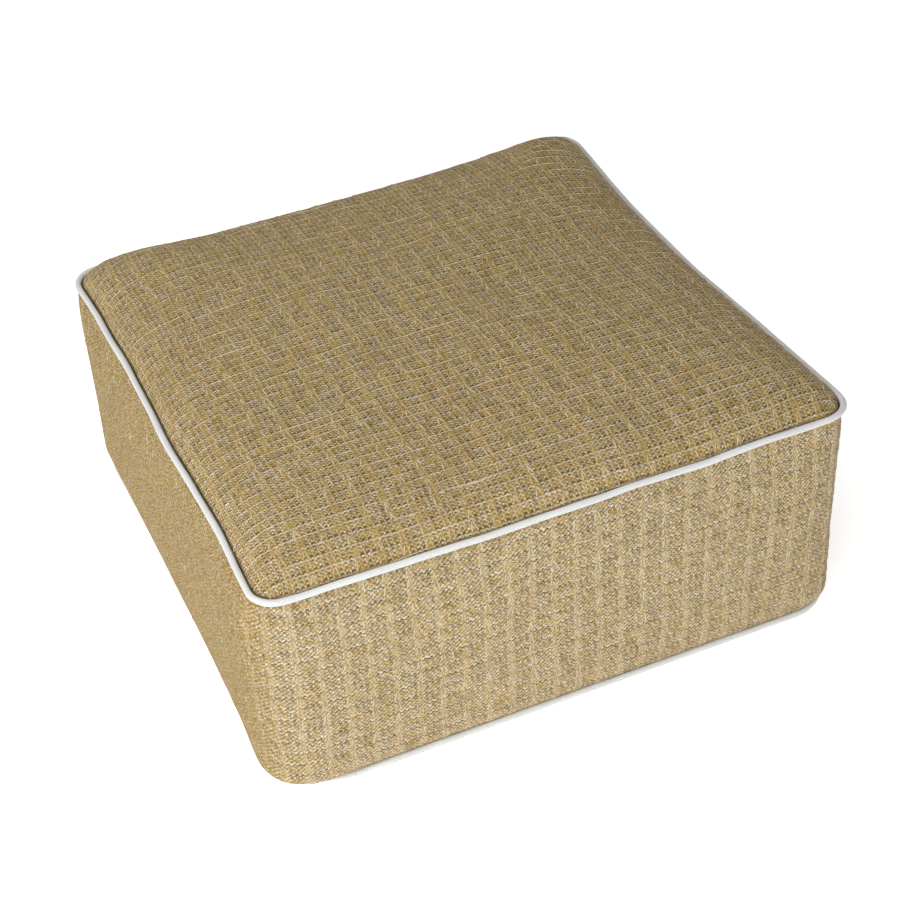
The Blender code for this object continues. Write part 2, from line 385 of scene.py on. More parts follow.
def lay_out_cover():
    cover = Cover()
    side, t = stations()
    count = len(t)
    top, top_out = top_seam(side, t)
    base, base_out = base_seam(side, t)
    rings = [around(top, top_out, CHANNEL_RADIUS, degrees) for degrees in TOP_CHANNEL_ANGLES]
    rings += [band_points(side, t, share) for share in band_shares()]
    rings += [around(base, base_out, CHANNEL_RADIUS, degrees) for degrees in BASE_CHANNEL_ANGLES]
    lip_z = rings[-1][0, 2]
    for share in BASE_TURN_SHARES:
        ring, _ = base_seam(side, t, BASE_TURN * share)
        rings.append(with_height(ring[:, :2], lip_z * round_off(1 - share)))

    round_length = lengths_round(band_points(side, t, BAND_MIDDLE))
    ribs_round = round(round_length[-1] / RIB_PITCH["band"])
    round_length = round_length * ribs_round * RIB_PITCH["band"] / round_length[-1]
    steps = [np.linalg.norm(upper - lower, axis=1) for upper, lower in zip(rings, rings[1:])]
    depths = np.concatenate([np.zeros((1, count)), np.cumsum(steps, axis=0)])
    depths = np.concatenate([depths, depths[:, :1]], axis=1)
    cover.length_round, cover.depth = float(round_length[-1]), float(depths.max())

    in_channel = len(TOP_CHANNEL_ANGLES)
    # all but the last channel ring under the top welt lie fully in the painted seam shadow
    numbers = [cover.add(ring, float(k < in_channel - 1)) for k, ring in enumerate(rings)]
    first_below = in_channel + len(band_shares())
    for k in (*range(in_channel), *range(first_below, len(rings))):
        cover.sewn.extend(numbers[k])
    for k, i in np.ndindex(len(rings) - 1, count):
        cells = (k, i + 1), (k, i), (k + 1, i), (k + 1, i + 1)
        corners = [numbers[row][column % count] for row, column in cells]
        cloth = [(round_length[column], -depths[row, column]) for row, column in cells]
        cover.face(corners, cloth, "band")
    add_top_panel(cover, numbers[0], top[:, :2] + top_out * slack(0.0))
    add_base(cover, numbers[-1], count)
    return cover


def rim_cells(side, k, ring, last):
    """Column and row of the k-th grid point on one side of a square grid ring."""
    return ((k, ring), (last - ring, k), (last - k, last - ring), (ring, last - k))[side]


def open_grid(edge, edge_cloth):
    """Square arrays of point numbers and of places on the cloth, with only their rims filled in."""
    last = len(edge) // 4
    grid = np.zeros((last + 1, last + 1), dtype=int)
    cloth = np.zeros((last + 1, last + 1, 2))
    for k, (number, place) in enumerate(zip(edge, edge_cloth)):
        cell = rim_cells(k // last, k % last, 0, last)
        grid[cell] = number
        cloth[cell] = place
    return grid, cloth, last


def close_grid(cover, grid, cloth, corners, panel):
    """Adds the faces of a grid. corners are the steps from a face's first corner to each in turn."""
    for i, j in np.ndindex(len(grid) - 1, len(grid) - 1):
        cells = [(i + down, j + over) for down, over in corners]
        cover.face([grid[c] for c in cells], [tuple(cloth[c]) for c in cells], panel)


def add_top_panel(cover, edge, edge_cloth):
    """A square grid whose rim is the ring of numbers edge. Grid ring r lies grid_insets()[r] inside it."""
    insets = grid_insets()
    marks = grid_marks()
    grid, cloth, last = open_grid(edge, edge_cloth)
    for ring in range(1, last // 2):
        half = 1 - insets[ring] / HALF
        ks = np.arange(ring, last - ring)
        for side in range(4):
            places = np.full(len(ks), side), marks[ks] / half
            # painted seam shadow, fading out over SEAM_SHADOW from the seam
            painted_seam_shadow = max(0.0, 1.0 - insets[ring] / SEAM_SHADOW)
            points, outward = top_points(*places, insets[ring])
            places_on_cloth = points[:, :2] + outward * slack(insets[ring])
            for k, number, place in zip(ks, cover.add(points, painted_seam_shadow), places_on_cloth):
                cell = rim_cells(side, int(k), ring, last)
                grid[cell] = number
                cloth[cell] = place
    middle, _ = top_points(np.array([0]), np.array([0.0]), MIDDLE_INSET)
    middle[0, :2] = 0.0
    grid[last // 2, last // 2] = cover.add(middle)[0]
    close_grid(cover, grid, cloth, ((0, 0), (1, 0), (1, 1), (0, 1)), "top")


def add_base(cover, edge, count):
    """The flat underside: a strip in which the cells widen, then a square grid."""
    ring = np.concatenate(cover.points)[edge]
    inner_ring = ring[::BASE_STEP] * np.array((BASE_INNER, BASE_INNER, 1.0))
    inner = cover.add(inner_ring)
    for i in range(len(inner)):
        j = (i + 1) % len(inner)
        outer = [(i * BASE_STEP + k) % count for k in range(BASE_STEP, -1, -1)]
        cloth = [*ring[outer, :2], inner_ring[i, :2], inner_ring[j, :2]]
        cover.face([*edge[outer], inner[i], inner[j]], [tuple(place) for place in cloth], "base")
    grid, place, last = open_grid(inner, inner_ring[:, :2])

    def between(i, j):
        """Evenly between the grid's first and last row."""
        return place[0, j] * (1 - i / last) + place[last, j] * i / last

    for i in range(1, last):
        for j in range(1, last):
            first, final = place[i, 0] - between(i, 0), place[i, last] - between(i, last)
            place[i, j] = between(i, j) + first * (1 - j / last) + final * j / last
            grid[i, j] = cover.add(np.array([[*place[i, j], 0.0]]))[0]
    close_grid(cover, grid, place, ((0, 0), (0, 1), (1, 1), (1, 0)), "base")
    cover.sewn.extend(range(inner[0], cover.count))


def read(items, name, width, kind=float):
    """One property of a mesh's items, as rows of width numbers."""
    flat = np.empty(len(items) * width, dtype=kind)
    items.foreach_get(name, flat)
    return flat.reshape(-1, width)


def coordinates(data):
    return read(data.vertices, "co", 3)


def new_object(name, data):
    made = bpy.data.objects.new(name, data)
    bpy.context.scene.collection.objects.link(made)
    return made


def new_piece(name, points, faces, cloth):
    """An object whose UV map, weave, holds the place on the cloth of each corner of its faces."""
    data = bpy.data.meshes.new(name)
    data.from_pydata(points.tolist(), [], faces)
    layer = data.uv_layers.new(name="weave")
    layer.data.foreach_set("uv", cloth.astype(np.float32).ravel())
    return new_object(name, data)


def spread_out(data, values):
    """Evens values out over a mesh: each step takes every point half way to the mean of its neighbours."""
    starts, ends = read(data.edges, "vertices", 2, int).T
    near, far = np.concatenate([starts, ends]), np.concatenate([ends, starts])
    count = np.bincount(near)
    for _ in range(SPREAD_STEPS):
        sums = [np.bincount(near, weights=column[far]) for column in values.T]
        values = (values + np.stack(sums, axis=1) / count[:, None]) / 2
    return values


def swell(piece, sewn):
    """Fills the cover until it pulls on its seams, and keeps the small folds this makes."""
    before = coordinates(piece.data)
    piece.vertex_groups.new(name="sewn").add([int(number) for number in sewn], 1.0, "REPLACE")
    filling = piece.modifiers.new("filling", "CLOTH")
    for name, value in SWELL_CLOTH.items():
        setattr(filling.settings, name, value)
    filling.settings.effector_weights.gravity = 0.0
    filling.collision_settings.use_collision = False
    filling.point_cache.frame_end = SWELL_FRAMES
    for frame_number in range(1, SWELL_FRAMES + 1):
        bpy.context.scene.frame_set(frame_number)
    apply_modifiers(piece)
    moved = coordinates(piece.data) - before
    folds = (moved - spread_out(piece.data, moved)) * FOLD_SHARE
    length = np.linalg.norm(folds, axis=1, keepdims=True)
    folds *= FOLD_CAP / (FOLD_CAP + length)
    folds[sewn] = 0.0
    piece.data.vertices.foreach_set("co", (before + folds).ravel())
    bpy.context.scene.frame_set(1)


def crease(points):
    """How far the top panel's creases lift points of it."""
    lift = np.zeros(len(points))
    for x0, y0, x1, y1, width, height in TOP_CREASES:
        start, run = np.array((x0, y0)), np.array((x1 - x0, y1 - y0))
        share = np.clip((points[:, :2] - start) @ run / (run @ run), 0.0, 1.0)
        away = points[:, :2] - start - share[:, None] * run
        lift += height * np.exp(-(away**2).sum(axis=1) / width**2)
    return lift


def grown(distance, length):
    """0 up to a distance of 0, 1 beyond length, and even between."""
    return np.clip(distance / length, 0.0, 1.0)


def make_cover():
    """The cover's object, before it is subdivided, and the length round its band and the band's depth."""
    cover = lay_out_cover()
    points = np.concatenate(cover.points) + SHIFT
    cloth = np.stack(wander(*np.array(cover.cloth).T), axis=1)
    piece = new_piece("pouf_cover", points, cover.faces, cloth)
    data = piece.data
    data.polygons.foreach_set("material_index", cover.panels)
    x, y, z = points.T
    front = grown(y + HALF, FRONT_FADE)
    leftward = grown(LEFT_EDGE - x, LEFT_FADE) * front * grown(BACK_EDGE - y, BACK_FADE)
    inward = grown(y - MIDDLE_EDGE, MIDDLE_FADE)
    looks = {
        # painted shadow in the top seam, half as deep along the front
        "painted_seam_shadow": np.array(cover.painted_seam_shadow) * (1 + front) / 2,
        # on the band, the left side's own look, which includes a painted shade; on the top, more ochre
        # flecks away from the front
        "ochre": np.where(z > TOP_SEAM_Z + BAND_TOP, inward, leftward),
    }
    for name, values in looks.items():
        data.attributes.new(name, "FLOAT", "POINT").data.foreach_set("value", values)
    swell(piece, cover.sewn)
    points = coordinates(piece.data)
    on_top = points[:, 2] > TOP_SEAM_Z + CREASE_FLOOR
    points[on_top, 2] += crease(points[on_top])
    piece.data.vertices.foreach_set("co", points.ravel())
    piece.data.update()
    return piece, cover.length_round, cover.depth


def apply_modifiers(piece):
    """Replaces an object's mesh by its evaluated mesh."""
    graph = bpy.context.evaluated_depsgraph_get()
    graph.update()
    data = bpy.data.meshes.new_from_object(piece.evaluated_get(graph))
    piece.modifiers.clear()
    piece.data = data


def subdivide(piece):
    modifier = piece.modifiers.new("finer", "SUBSURF")
    modifier.levels = 1
    modifier.render_levels = 1
    modifier.boundary_smooth = "PRESERVE_CORNERS"
    apply_modifiers(piece)
    piece.data.shade_smooth()


# ---- materials


def feed(tree, slot, value):
    """Gives a node's input a plain value, a colour or a term."""
    if isinstance(value, Term):
        tree.links.new(value.socket, slot)
    elif isinstance(value, tuple):
        slot.default_value = (*value, 1.0)
    else:
        slot.default_value = value


def new_node(tree, kind, inputs, **settings):
    """A shader node with its settings, and with what goes into its inputs, by their names or numbers."""
    node = tree.nodes.new(f"ShaderNode{kind}")
    for name, value in settings.items():
        setattr(node, name, value)
    for slot, value in inputs.items():
        feed(tree, node.inputs[slot], value)
    return node


def operation(name):
    """A method that passes its term, and any others, through a math node."""

    def method(self, *others):
        node = new_node(self.tree, "Math", dict(enumerate((self, *others))), operation=name)
        return Term(self.tree, node.outputs[0])

    return method


class Term:
    """A node's output in a shader. Sums, products and functions of terms become math nodes."""

    def __init__(self, tree, socket):
        self.tree = tree
        self.socket = socket

    __add__ = __radd__ = operation("ADD")
    __mul__ = __rmul__ = operation("MULTIPLY")
    __sub__ = operation("SUBTRACT")
    __truediv__ = operation("DIVIDE")
    sin = operation("SINE")
    floor = operation("FLOOR")
    fract = operation("FRACT")
    abs = operation("ABSOLUTE")
    maximum = operation("MAXIMUM")
    minimum = operation("MINIMUM")

    def __rsub__(self, other):
        return self * -1.0 + other

    def step(self, low, high):
        """0 below low, 1 above high, smooth between. low may be the larger."""
        inputs = {"Value": self, "From Min": low, "From Max": high}
        node = new_node(self.tree, "MapRange", inputs, interpolation_type="SMOOTHSTEP")
        return Term(self.tree, node.outputs["Result"])

    def ridge(self):
        """Goes 0, 1, 0 over each unit, like the round of a thread."""
        return (self * math.pi).sin().abs()


class Shader:
    """A Principled material under construction."""

    def __init__(self, name):
        self.material = bpy.data.materials.new(name)
        self.material.use_nodes = True
        self.tree = self.material.node_tree
        self.surface = self.tree.nodes["Principled BSDF"]

    def term(self, kind, output, inputs, **settings):
        """One output of a new node."""
        return Term(self.tree, new_node(self.tree, kind, inputs, **settings).outputs[output])

    def cloth_place(self):
        """The piece's coordinates on the cloth."""
        parts = {0: self.term("UVMap", "UV", {}, uv_map="weave")}
        return self.term("SeparateXYZ", 0, parts), self.term("SeparateXYZ", 1, parts)

    def attribute(self, name):
        return self.term("Attribute", "Fac", {}, attribute_name=name)

    def combine(self, x, y, z=0.0):
        return self.term("CombineXYZ", 0, {0: x, 1: y, 2: z})

    def noise(self, place, scale, detail=2.0, roughness=0.5):
        inputs = {"Vector": place, "Scale": scale, "Detail": detail, "Roughness": roughness}
        return self.term("TexNoise", "Fac", inputs)

    def speckle(self, u, v, along, down, seed, detail, roughness):
        """Noise about 0, with its own number of cycles for each unit along and down."""
        place = self.combine(u * along, v * down, seed)
        return self.noise(place, 1.0, detail, roughness) - 0.5

    def chance(self, x, y, seed):
        """An even random number from 0 to 1 for each whole x and y."""
        inputs = {"Vector": self.combine(x, y, seed)}
        return self.term("TexWhiteNoise", "Value", inputs, noise_dimensions="3D")

    def mix(self, amount, first, second):
        """Colour first where amount is 0 and second where it is 1. Each is a colour or another mix."""
        return self.term("Mix", 2, {0: amount, 6: first, 7: second}, data_type="RGBA")

    def bump(self, height, distance):
        inputs = {"Strength": 1.0, "Distance": distance, "Height": height}
        feed(self.tree, self.surface.inputs["Normal"], self.term("Bump", "Normal", inputs))

    def finish(self, **inputs):
        """Fills the surface's inputs. Their names have _ for a space."""
        for name, value in {"Metallic": 0.0, "Specular_IOR_Level": CLOTH_SHINE, **inputs}.items():
            feed(self.tree, self.surface.inputs[name.replace("_", " ")], value)
        return self.material


PALE = (0.88, 0.815, 0.69)
CREAM = (0.76, 0.645, 0.46)
STRAW = (0.58, 0.415, 0.165)
OCHRE = (0.50, 0.315, 0.06)
UMBER = (0.24, 0.16, 0.06)
SHADE = (0.17, 0.108, 0.036)
GAP = (0.050, 0.034, 0.016)
# Where the yarns pass into the next colour, as their shade or their tone grows, and where ribs darken
TO_STRAW, TO_CREAM, TO_PALE = (-0.3, 0.1), (0.1, 0.4), (0.35, 0.8)
RIB_TO_STRAW, RIB_TO_CREAM, RIB_TO_UMBER = (-0.1, 0.5), (0.4, 1.1), (-0.3, -1.0)
FLOAT_STRAW = (0.62, 0.48, 0.25)
FLOAT_PALE = (0.74, 0.65, 0.46)
SLUB_PALE = (0.68, 0.58, 0.40)
WELT_WHITE = (0.86, 0.86, 0.845)
WELT_GREY = (0.62, 0.62, 0.605)
FLOOR_COLOURS = (0.90, 0.90, 0.90), (0.92, 0.92, 0.92)
FLOOR_GLOW = 0.70
YARN_TURNS = 9.0  # turns of the twist over one strand
CLOTH_SHINE = 0.12
SLITS_ACROSS = 4  # columns of slits from one rib to the next
SLITS_DOWN = 3  # rows of slits from one slub line to the next
LONG_SHARE = 0.67  # share of a column over which a yarn climbs slowly. Over the rest it falls back
RIB_HALF, RIB_EDGE = 2.5, 0.7  # half width of a rib and of its soft edge, in mm
RIB_TAPER = 1.4  # how many mm the half width of a rib gains from one slub line down to the next
HEART_HALF = 1.7  # half width of the dark start of each rib's yarns, in mm
MORE_OCHRE = 0.45  # more ochre flecks on the left side and in the middle of the top
STRAY_ROWS = 0.8  # how far the yarns stray, in rows and columns of slits
LEFT_STRAY = 1.7  # how much farther they stray on the left side
LEFT_FADED = 0.60  # share of the ribs and slub lines that the left side lacks
LEFT_SLITS = 0.45  # share of the slits that it has
LEFT_GRAIN, LEFT_PAINTED_SHADE = 5.0, -0.24  # how strong its irregular grain is, and how much darker it is, as painted shade
WEAVE_RELIEF = 0.0014
YARN_RELIEF = 0.0002
WELT_RELIEF = 0.00022
WELT_THREAD = 0.55  # distance between the threads of the welt's cotton, in mm

# Noises of the cloth: cycles for each mm along and down, seed, detail and roughness
STRAY = (0.22, 0.22, 0.0, 2.0, 0.6)
OTHER_STRAY = (0.24, 0.24, 1.68, 2.0, 0.6)
FRAY = (0.95, 1.6, 0.0, 2.0, 0.5)
PATCH = (0.06, 0.06, 0.0, 3.0, 0.7)
GRAIN = (0.38, 0.66, 5.0, 1.0, 0.5)
FLECK = (0.50, 0.75, 3.0, 2.0, 0.5)
STREAK = (0.9, 0.28, 0.0, 2.0, 0.65)
FIBRE = (0.45, 4.6, 0.0, 1.0, 0.5)  # down is in rows here
YARN_GRAIN = (40.0, 6.0, 0.0, 2.0, 0.6)  # for each strand and each turn round it

# How the cloth of each panel looks. The band's cloth hangs the other way up than the top's. The numbers:
# how far the yarns zigzag, in rows; place of the first column and row, as shares; half length and half
# thickness of the slits, as shares; how open they are where the yarn falls back; how strongly the ribs
# show; 0 for ochre ribs or 1 for straw; share of the ground with ochre flecks; how pale the slub lines are
WEAVES = {
    "top": (-0.35, 0.33, 0.13, 0.32, 0.26, 0.25, 0.44, 0.15, 0.80, 0.60),
    "band": (0.62, 0.09, 0.61, 0.42, 0.20, 0.70, 0.38, 0.85, 0.55, 0.30),
}
WEAVES["base"] = WEAVES["band"]

# Fine twills in the ground: cycles from rib to rib and from slub line to slub line, and strength
TWILLS = {
    "top": ((4, 3, 0.20), (-4, 3, 0.13), (8, 1, 0.13)),
    "band": ((-4, 3, 0.19), (4, 1, 0.11), (8, 3, 0.10)),
}
TWILLS["base"] = TWILLS["band"]


def weave_material(panel):
    """Open weave of ochre and cream yarns that zigzag in rows, with slits between them, and with ribs."""
    zigzag, column, row, long, thick, other_side, ribs, rib_tone, flecked, line_tone = WEAVES[panel]
    s = Shader(f"{panel}_cloth")
    u, v = (place * 1000.0 for place in s.cloth_place())
    rib_pitch, line_pitch = RIB_PITCH[panel] * 1000, LINE_PITCH[panel] * 1000
    stray, other_stray = s.speckle(u, v, *STRAY), s.speckle(v, u, *OTHER_STRAY)
    fray, patch, grain, streak = (s.speckle(u, v, *kind) for kind in (FRAY, PATCH, GRAIN, STREAK))
    ochre = s.attribute("ochre")
    leftward = ochre * float(panel == "band")
    kept = 1.0 - leftward * LEFT_FADED
    wobble = leftward * LEFT_STRAY + STRAY_ROWS

    # place in the check: mm from the middle of the nearest rib, and shares of the way between slub lines
    across = u / rib_pitch
    down = v / line_pitch
    rib_x = ((across + 0.5).fract() - 0.5) * rib_pitch
    below = 1.0 - down.fract()
    pick = s.chance((across + 0.5).floor(), (down + 0.5).floor(), 11.0)

    # slits between yarns that zigzag in rows, and the seams between one row of yarn and the next
    slit_x = across * SLITS_ACROSS + column + stray * wobble
    phase = slit_x.fract()
    climb = (phase / LONG_SHARE).minimum((1.0 - phase) / (1.0 - LONG_SHARE))
    slit_y = down * SLITS_DOWN + row + other_stray * wobble + climb * zigzag
    slit_pick = s.chance(slit_x.floor(), slit_y.floor(), 5.0)
    twill = 0.0
    for rib_cycles, line_cycles, strength in TWILLS[panel]:
        turns = across * rib_cycles + down * line_cycles + (stray * 0.9 + other_stray * 0.6) * wobble
        twill = twill + (turns * (2 * math.pi)).sin() * strength
    twill = twill * (stray * 2.5 + 1.0)
    from_row = (slit_y.fract() - 0.5).abs() + (fray + twill) * 0.25
    window = (phase - LONG_SHARE / 2 + fray * 0.2).abs().step(long + 0.1, long - 0.1)
    window = window * (1.0 - other_side) + other_side
    open_row = (slit_y.floor() / SLITS_DOWN + 0.1).fract().step(0.3, 0.2) * 0.3 + 0.6
    slit = from_row.step(thick + 0.06, thick - 0.14) * window * open_row * slit_pick.step(-0.4, 0.5)
    left_slit = (grain * -6.0 - 0.7).maximum(0.0) * leftward
    slit = (slit * (1.0 - leftward * (1.0 - LEFT_SLITS)) + left_slit).minimum(1.0)
    half_row = (slit_y + 0.5 + (slit_pick * 7.7).fract() * 0.15).fract()
    seen = ((phase + 0.35).fract() - 0.5 + fray * 0.4).abs().step(0.45, 0.25) * (slit_pick * 5.3).fract()
    seam = ((half_row - 0.5).abs() + fray * 0.25).step(0.19, 0.03) * seen
    slit = slit.maximum(seam)

    # the ground's yarns, from ochre over straw and cream to pale
    fibre = s.speckle(u, slit_y, *FIBRE)
    on_line = (down.fract() - 0.5).abs().step(0.43, 0.49)
    shade = fibre * 1.5 + fray * 2.3 + patch * 0.12 + ((slit_pick * 3.1).fract() - 0.5) * 0.25 + 0.30
    # the left side: its own stronger grain, and a painted shade that darkens it
    shade = shade + twill + (grain * LEFT_GRAIN + LEFT_PAINTED_SHADE) * leftward + on_line * kept * line_tone
    fleck = s.speckle(u, v, *FLECK) + fray * 0.3 + (flecked + ochre * MORE_OCHRE - 0.5) * 0.4
    fleck = fleck.step(-0.04, 0.08)
    thread = s.mix(shade.step(*TO_STRAW) * (1.0 - fleck), OCHRE, STRAW)
    pale_shade = shade - fleck * 0.18
    thread = s.mix(pale_shade.step(*TO_CREAM), thread, CREAM)
    thread = s.mix(pale_shade.step(*TO_PALE), thread, PALE)
    under = s.mix((patch + fray * 1.5 + 0.4).step(0.0, 1.0), SHADE, GAP)
    ground = s.mix(slit, thread, under)

    # ribs: a bed of long straw and ochre yarns without gaps, that widens down to the next slub line
    reach = fray * 2.4 + (pick - 0.5) * 1.2 + (below - 0.5) * RIB_TAPER
    in_rib = (rib_x.abs() - reach).step(RIB_HALF + RIB_EDGE, RIB_HALF - RIB_EDGE) * ribs * kept
    tone = streak * 3.0 + fray * 2.4 + (pick - 0.5) * 0.5 + rib_tone - below * 0.4
    rib_colour = s.mix(tone.step(*RIB_TO_STRAW), OCHRE, STRAW)
    rib_colour = s.mix(tone.step(*RIB_TO_CREAM), rib_colour, CREAM)
    rib_colour = s.mix((streak * 2.6 + fray * 1.6).step(*RIB_TO_UMBER) * 0.9, rib_colour, UMBER)
    heart = (rib_x + fray * 1.5).abs().step(HEART_HALF, 0.4) * (below + fray * 0.3).step(0.75, 0.25)
    rib_colour = s.mix(heart * 0.4, rib_colour, UMBER)
    colour = s.mix(in_rib, ground, rib_colour)
    # painted shadow in the groove beside the top welt: the cloth darkens towards GAP deep in the seam
    painted_seam_shadow = (s.attribute("painted_seam_shadow") + fray * 0.9).step(0.25, 0.6)
    colour = s.mix(painted_seam_shadow * 0.85, colour, GAP)

    relief = (0.9 + fibre * 1.2 - slit) * (1 - in_rib) + (streak * 1.6 + 0.9) * in_rib
    s.bump(relief, WEAVE_RELIEF)
    return s.finish(Base_Color=colour, Roughness=0.95, Sheen_Weight=0.02)


def yarn_material(name, dark, light):
    """Twisted yarn. Each strand has its own tone: the whole part of its u is its number."""
    s = Shader(name)
    along, turn = s.cloth_place()
    tone = s.chance(along.floor(), 0.0, 2.0) + s.speckle(along, turn, *YARN_GRAIN) * 0.7
    ply = (along * YARN_TURNS + turn).ridge()
    colour = s.mix(tone.step(0.1, 0.9), dark, light)
    colour = s.mix(ply.step(0.45, 0.0) * 0.4, colour, OCHRE)
    s.bump(ply, YARN_RELIEF)
    return s.finish(Base_Color=colour, Roughness=0.9, Sheen_Weight=0.1)


def welt_material():
    """Fine off-white cotton, wrapped on the bias round a cord."""
    s = Shader("welt_cotton")
    u, v = (place * 1000.0 for place in s.cloth_place())
    place = s.combine(u, v)
    grain = s.noise(place, 0.75, 3.0, 0.75)
    soil = s.noise(place, 0.02, 2.0, 0.5)
    threads = ((u + v) / WELT_THREAD).ridge() * ((u - v) / WELT_THREAD).ridge()
    colour = s.mix((grain * 0.8 + soil * 0.2).step(0.25, 0.65), WELT_GREY, WELT_WHITE)
    s.bump(threads * 0.5 + grain, WELT_RELIEF)
    return s.finish(Base_Color=colour, Roughness=0.85, Sheen_Weight=0.1)


def floor_material():
    s = Shader("studio_floor")
    colour = s.mix(s.noise(s.term("TexCoord", "Object", {}), 1.5), *FLOOR_COLOURS)
    glow = {"Emission_Color": (1.0, 1.0, 1.0), "Emission_Strength": FLOOR_GLOW}
    return s.finish(Base_Color=colour, Roughness=0.9, **glow)


# ---- yarns that float on the cloth

# Half width and half height of the strands, and how far the middle of their arch stands off the cloth
STRANDS = {"float": (0.00060, 0.00040, 0.00032), "slub": (0.00040, 0.00040, 0.00030)}
STRAND_SIDES = 4
STRAND_THINNER, STRAND_THICKER = 0.7, 1.3  # between these the strands differ in width
FLOAT_POINTS = 5
FLOAT_HEAD = (0.0004, -0.0012)  # where a float starts, beside its rib's middle and its slub line
FLOAT_JITTER = 0.0006
FLOAT_CURVE = 1.2
SLUB_POINTS = 13
SLUB_SPANS = {1.0: 0.35, 2.0: 0.40, 3.0: 0.25}  # how many checks it runs over, and how often
# Mean and deviation of what differs from yarn to yarn
FLOAT_SPREAD = (0.0027, 0.0009)  # how far a float moves out from its head
FLOAT_LENGTH = (0.84, 0.08)  # as a share of the way to the next slub line
SLUB_START = (-0.001, 0.003)  # beside its rib's middle
SLUB_LENGTH = (1.03, 0.04)  # as a share of the checks it runs over
SLUB_LEVEL = (0.0, 0.0002)  # beside its slub line
SLUB_WAVE = (0.0, 0.0007)

ARCH_SHAPE = 0.6  # the lower, the steeper a strand leaves the cloth
THIN_END = 0.35  # thickness of a strand's ends, as a share of its middle's
END_SUNK = 0.6  # how deep its ends sink into the cloth, as a share of its height
FLOAT_FLOOR = 0.0015  # no yarn floats lower than this, between the cloth and the floor
LEFT_SIDE_X = -0.285  # beyond it fewer yarns float on the band
LEFT_SHOWN = 0.05  # share of them that stays there
SHOWN = {
    "float": {"top": 0.65, "band": 0.88},
    "slub": {"top": 0.20, "band": 0.08},
}


class Surface:
    """Finds points and normals of one panel of the cover from places on its cloth."""

    def __init__(self, piece, panel):
        data = piece.data
        self.cloth = read(data.uv_layers["weave"].data, "uv", 2)
        start = read(data.polygons, "loop_start", 1, int)
        slot = read(data.polygons, "material_index", 1, int)[:, 0]
        start = start[slot == PANELS.index(panel)]
        self.triangles = np.concatenate([start + (0, 1, 2), start + (0, 2, 3)])
        self.corners = read(data.loops, "vertex_index", 1, int)[self.triangles, 0]
        self.points = coordinates(data)
        self.normals = read(data.vertices, "normal", 3)
        flat = [(x, y, 0.0) for x, y in self.cloth[self.triangles].reshape(-1, 2).tolist()]
        faces = [(k, k + 1, k + 2) for k in range(0, len(flat), 3)]
        self.tree = BVHTree.FromPolygons(flat, faces)

    def find(self, places):
        """Points, normals and whether they lie on the panel, for an array of places."""
        flat = places.reshape(-1, 2)
        hits = [self.tree.find_nearest((x, y, 0.0)) for x, y in flat.tolist()]
        index = np.array([hit[2] for hit in hits])
        inside = np.array([hit[3] < 1e-5 for hit in hits])
        a, b, c = (self.cloth[self.triangles[index, k]] for k in range(3))
        ab, ac, ap = b - a, c - a, flat - a
        area = ab[:, 0] * ac[:, 1] - ab[:, 1] * ac[:, 0]
        at_b = (ap[:, 0] * ac[:, 1] - ap[:, 1] * ac[:, 0]) / area
        at_c = (ab[:, 0] * ap[:, 1] - ab[:, 1] * ap[:, 0]) / area
        shares = np.stack([1 - at_b - at_c, at_b, at_c], axis=1)[..., None]
        corners = self.corners[index]
        points = (self.points[corners] * shares).sum(axis=1)
        normals = (self.normals[corners] * shares).sum(axis=1)
        normals /= np.linalg.norm(normals, axis=1, keepdims=True)
        shape = places.shape[:-1]
        return points.reshape(*shape, 3), normals.reshape(*shape, 3), inside.reshape(shape)


def checks(panel, length_round, depth, random):
    if panel == "top":
        reaches = int(HALF / RIB_PITCH[panel]) + 1, int(HALF / LINE_PITCH[panel]) + 1
        ribs, lines = (np.arange(-reach, reach + 1) for reach in reaches)
    else:
        ribs = np.arange(0, round(length_round / RIB_PITCH[panel]))
        lines = np.arange(-int(depth / LINE_PITCH[panel]) - 1, 1)
    rib, line = (grid.ravel() for grid in np.meshgrid(ribs, lines, indexing="ij"))
    order = random.permutation(len(rib))
    return rib[order, None], line[order, None]


def lay_floats(panel, rib, line, random):
    """Two floats in each check of a rib, that part from one point like an open pair of legs."""
    share = np.linspace(0.0, 1.0, FLOAT_POINTS)
    rows = []
    for hand in (-1, 1):
        start = rib * RIB_PITCH[panel] + hand * FLOAT_HEAD[0] + random.normal(0, FLOAT_JITTER, rib.shape)
        level = line * LINE_PITCH[panel] + FLOAT_HEAD[1] + random.normal(0, FLOAT_JITTER, rib.shape)
        spread = hand * random.normal(*FLOAT_SPREAD, rib.shape)
        length = LINE_PITCH[panel] * random.normal(*FLOAT_LENGTH, rib.shape)
        rows.append(np.stack([start + spread * share**FLOAT_CURVE, level - length * share], axis=-1))
    return np.concatenate(rows)


def lay_slubs(panel, rib, line, random):
    """Slub yarns that run over one to three checks."""
    share = np.linspace(0.0, 1.0, SLUB_POINTS)
    start = rib * RIB_PITCH[panel] + random.normal(*SLUB_START, rib.shape)
    spans = random.choice(tuple(SLUB_SPANS), rib.shape, p=tuple(SLUB_SPANS.values()))
    length = RIB_PITCH[panel] * spans * random.normal(*SLUB_LENGTH, rib.shape)
    level = line * LINE_PITCH[panel] + random.normal(*SLUB_LEVEL, rib.shape)
    wave = random.normal(*SLUB_WAVE, rib.shape)
    wave = wave * np.sin(share * math.pi * 2 + random.uniform(0, 6, rib.shape))
    return np.stack([start + length * share, level + wave], axis=-1)


